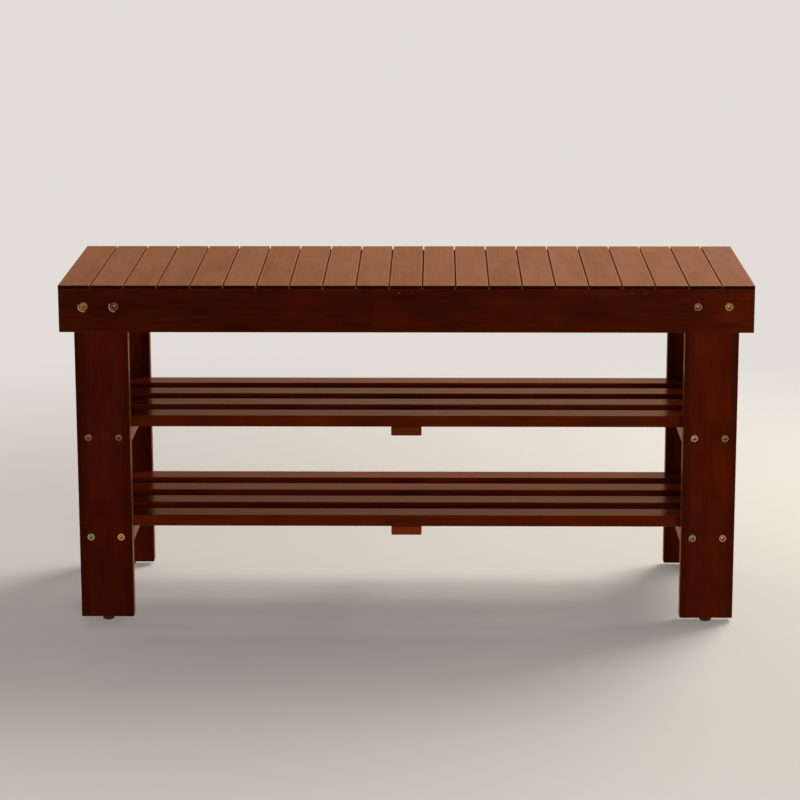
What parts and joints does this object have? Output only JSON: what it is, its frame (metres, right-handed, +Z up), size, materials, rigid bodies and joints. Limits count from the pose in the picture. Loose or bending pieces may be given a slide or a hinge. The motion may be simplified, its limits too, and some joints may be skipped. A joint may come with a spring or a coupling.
{
  "type": "shoe storage bench",
  "caption": "Slatted wooden bench with two slatted shoe shelves between flat board legs, bolted together for flat packing.",
  "frame": {"origin": "on the floor under the middle of the seat", "axes": "+X along the bench to its right end, +Y from the front to the rear, +Z up"},
  "size_m": [0.9, 0.29, 0.457],
  "materials": {
    "seat_wood": "mahogany stain under satin lacquer",
    "frame_wood": "mahogany stain under satin lacquer",
    "shelf_wood": "mahogany stain under satin lacquer",
    "bolt_zinc": "yellow zinc plating on steel",
    "barrel_steel": "bright zinc plating",
    "nail_steel": "plain bright steel",
    "glide_plastic": "dark brown moulded plastic"
  },
  "bodies": {
    "root": {"seat_slat_01": "seat_wood", "seat_slat_02": "seat_wood", "seat_slat_03": "seat_wood", "seat_slat_04": "seat_wood", "seat_slat_05": "seat_wood", "seat_slat_06": "seat_wood", "seat_slat_07": "seat_wood", "seat_slat_08": "seat_wood", "seat_slat_09": "seat_wood", "seat_slat_10": "seat_wood", "seat_slat_11": "seat_wood", "seat_slat_12": "seat_wood", "seat_slat_13": "seat_wood", "seat_slat_14": "seat_wood", "seat_slat_15": "seat_wood", "seat_slat_16": "seat_wood", "seat_slat_17": "seat_wood", "seat_slat_18": "seat_wood", "seat_slat_19": "seat_wood", "seat_slat_20": "seat_wood", "seat_slat_21": "seat_wood", "front_apron": "frame_wood", "rear_apron": "frame_wood", "leg_front_left": "frame_wood", "leg_front_right": "frame_wood", "leg_rear_left": "frame_wood", "leg_rear_right": "frame_wood", "seat_rail_left": "frame_wood", "seat_rail_right": "frame_wood", "upper_shelf_slat_1": "shelf_wood", "upper_shelf_slat_2": "shelf_wood", "upper_shelf_slat_3": "shelf_wood", "upper_shelf_slat_4": "shelf_wood", "upper_rail_left": "shelf_wood", "upper_rail_right": "shelf_wood", "upper_cleat": "shelf_wood", "lower_shelf_slat_1": "shelf_wood", "lower_shelf_slat_2": "shelf_wood", "lower_shelf_slat_3": "shelf_wood", "lower_shelf_slat_4": "shelf_wood", "lower_rail_left": "shelf_wood", "lower_rail_right": "shelf_wood", "lower_cleat": "shelf_wood", "seat_bolts": "bolt_zinc", "upper_shelf_bolts": "bolt_zinc", "lower_shelf_bolts": "bolt_zinc", "seat_barrel_nuts": "barrel_steel", "upper_barrel_nuts": "barrel_steel", "lower_barrel_nuts": "barrel_steel", "front_brads": "nail_steel", "rear_brads": "nail_steel", "upper_shelf_screws": "nail_steel", "lower_shelf_screws": "nail_steel", "glide_nails": "nail_steel", "glide_front_left": "glide_plastic", "glide_front_right": "glide_plastic", "glide_rear_left": "glide_plastic", "glide_rear_right": "glide_plastic"}
  },
  "joints": []
}
